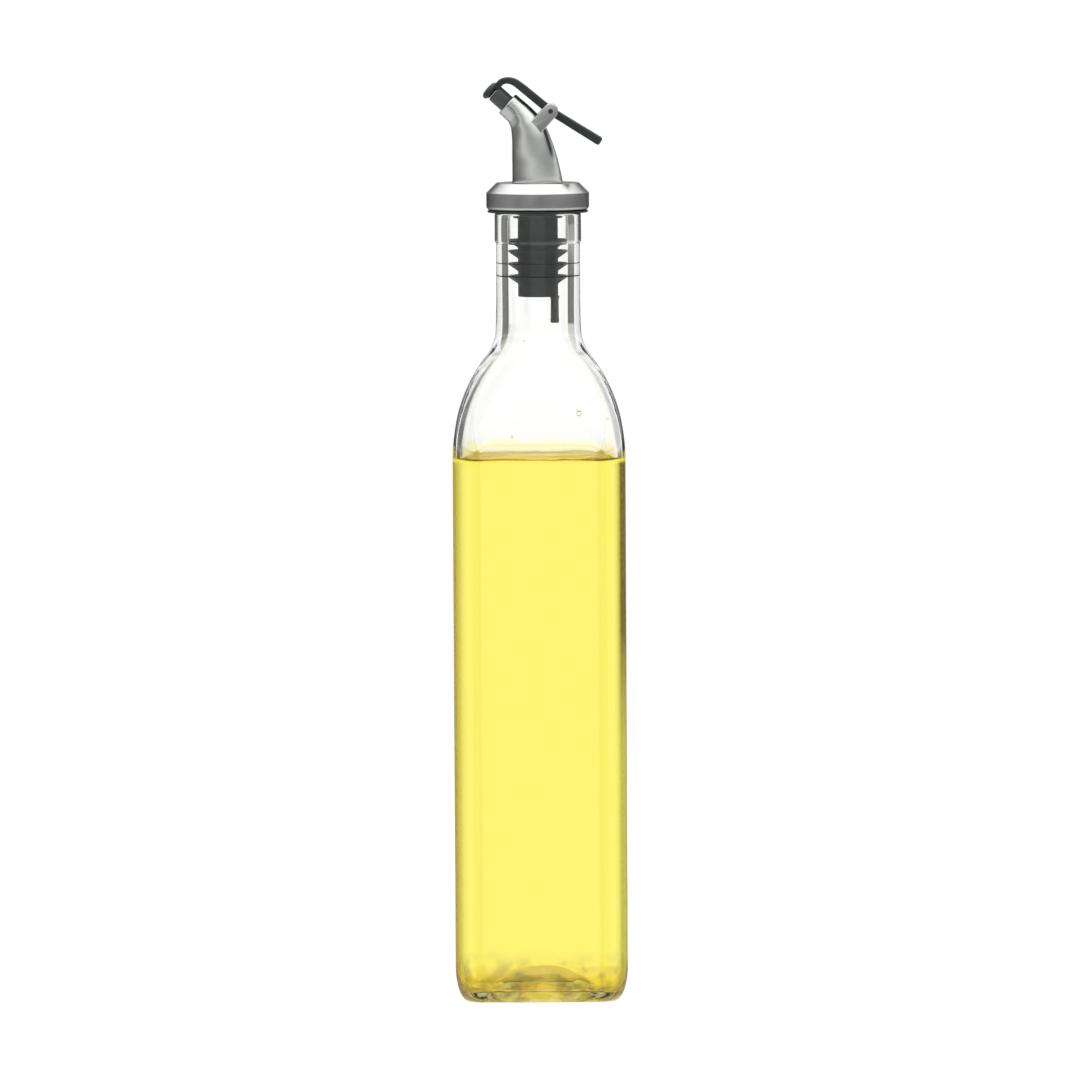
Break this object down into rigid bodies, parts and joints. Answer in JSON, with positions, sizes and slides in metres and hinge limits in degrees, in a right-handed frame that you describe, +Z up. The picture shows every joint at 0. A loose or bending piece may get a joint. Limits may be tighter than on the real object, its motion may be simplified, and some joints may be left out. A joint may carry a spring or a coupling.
{
  "type": "square glass oil bottle with lever pourer",
  "caption": "Square clear glass bottle of pale yellow oil, with a ribbed stopper and a metal pourer whose sprung lever lifts a cap off the spout.",
  "frame": {"origin": "middle of the base, on the surface the bottle stands on", "axes": "+Z up along the bottle, the spout points to -X and the lever's finger end to +X"},
  "size_m": [0.058, 0.058, 0.3103],
  "materials": {
    "clear_glass": "clear polished glass",
    "oil": "clear liquid, pale lemon yellow",
    "stopper_rubber": "smooth soft black",
    "satin_metal": "satin, fine blasted",
    "black_plastic": "moulded, slightly satin",
    "lever_plastic": "moulded, slightly satin",
    "pin_steel": "dark steel"
  },
  "bodies": {
    "bottle_body": {"bottle": "clear_glass", "oil": "oil", "stopper": "stopper_rubber", "air_tube": "black_plastic", "pourer_body": "satin_metal", "nozzle": "black_plastic", "pivot_pin": "pin_steel"},
    "lever": {"lever": "lever_plastic"}
  },
  "joints": [
    {"name": "lever_press", "type": "hinge", "parent": "bottle_body", "child": "lever", "pos_m": [0.00447, 0, 0.2989], "axis": [0, 1, 0], "range_deg": [0, 30], "stiffness_Nm_per_rad": 0.02, "springref_deg": -34.38}
  ]
}
